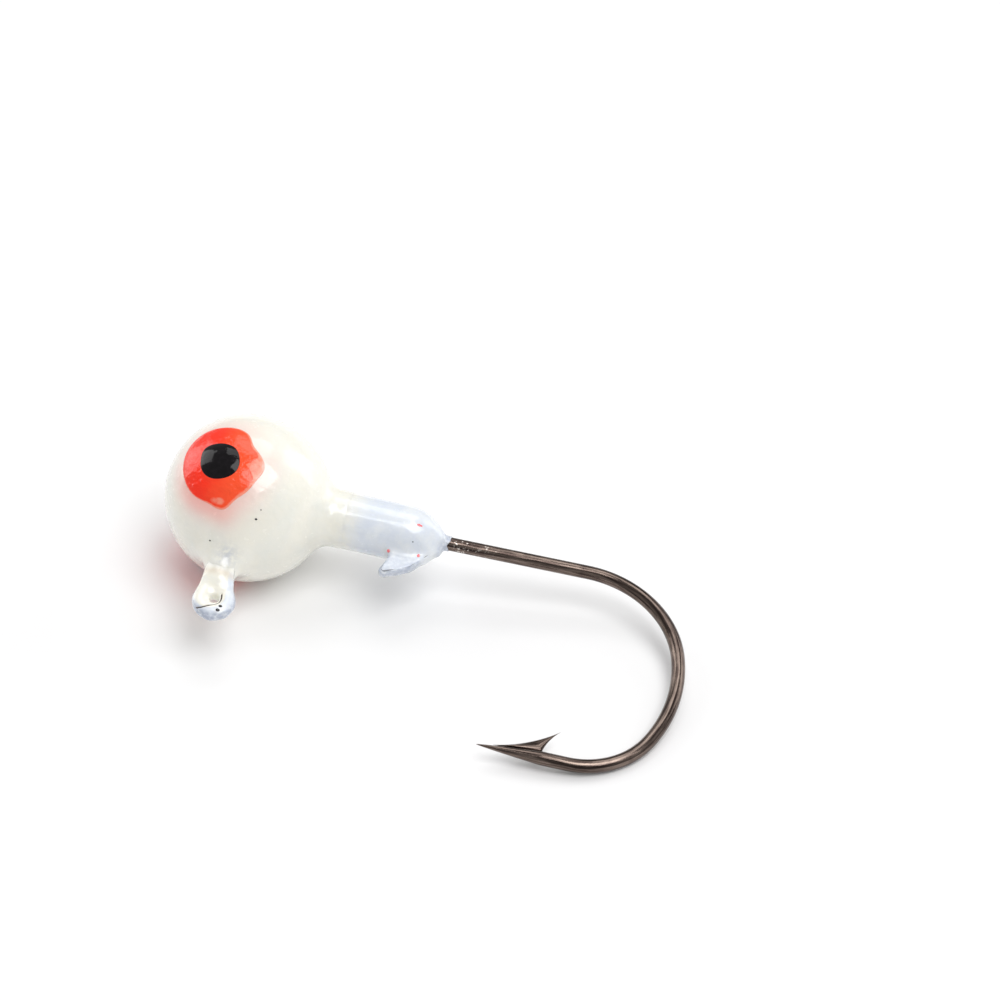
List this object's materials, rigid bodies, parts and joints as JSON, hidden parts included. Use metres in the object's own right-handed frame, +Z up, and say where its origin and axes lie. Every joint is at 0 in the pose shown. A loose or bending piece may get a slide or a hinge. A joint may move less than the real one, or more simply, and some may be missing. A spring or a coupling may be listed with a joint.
{
  "type": "jig head",
  "caption": "Round lead ball jig head on a barbed jig hook, with a bait collar and keeper fin, a painted line tie, and an eye painted on each side.",
  "frame": {"origin": "middle of the bounding box's base, on the surface that the jig lies on", "axes": "+X from the ball along the shank towards the bend, +Y away from the line tie and the point, +Z up from the surface; the jig lies on its left side, so the hook's plane leans 10 degrees from level"},
  "size_m": [0.0423, 0.0246, 0.0131],
  "materials": {
    "hook_wire": "bronzed black-nickel plating, glossy with drawing marks",
    "cast_lead": "as cast",
    "base_coat_paint": "thin glossy bluish-white coat",
    "glow_coat_paint": "thick glossy cream-white glow coat",
    "iris_paint": "glossy orange-red",
    "pupil_paint": "glossy black"
  },
  "bodies": {
    "root": {"hook": "hook_wire", "lead_head": "cast_lead", "base_coat": "base_coat_paint", "glow_coat": "glow_coat_paint", "iris_right": "iris_paint", "iris_left": "iris_paint", "pupil_right": "pupil_paint", "pupil_left": "pupil_paint"}
  },
  "joints": []
}
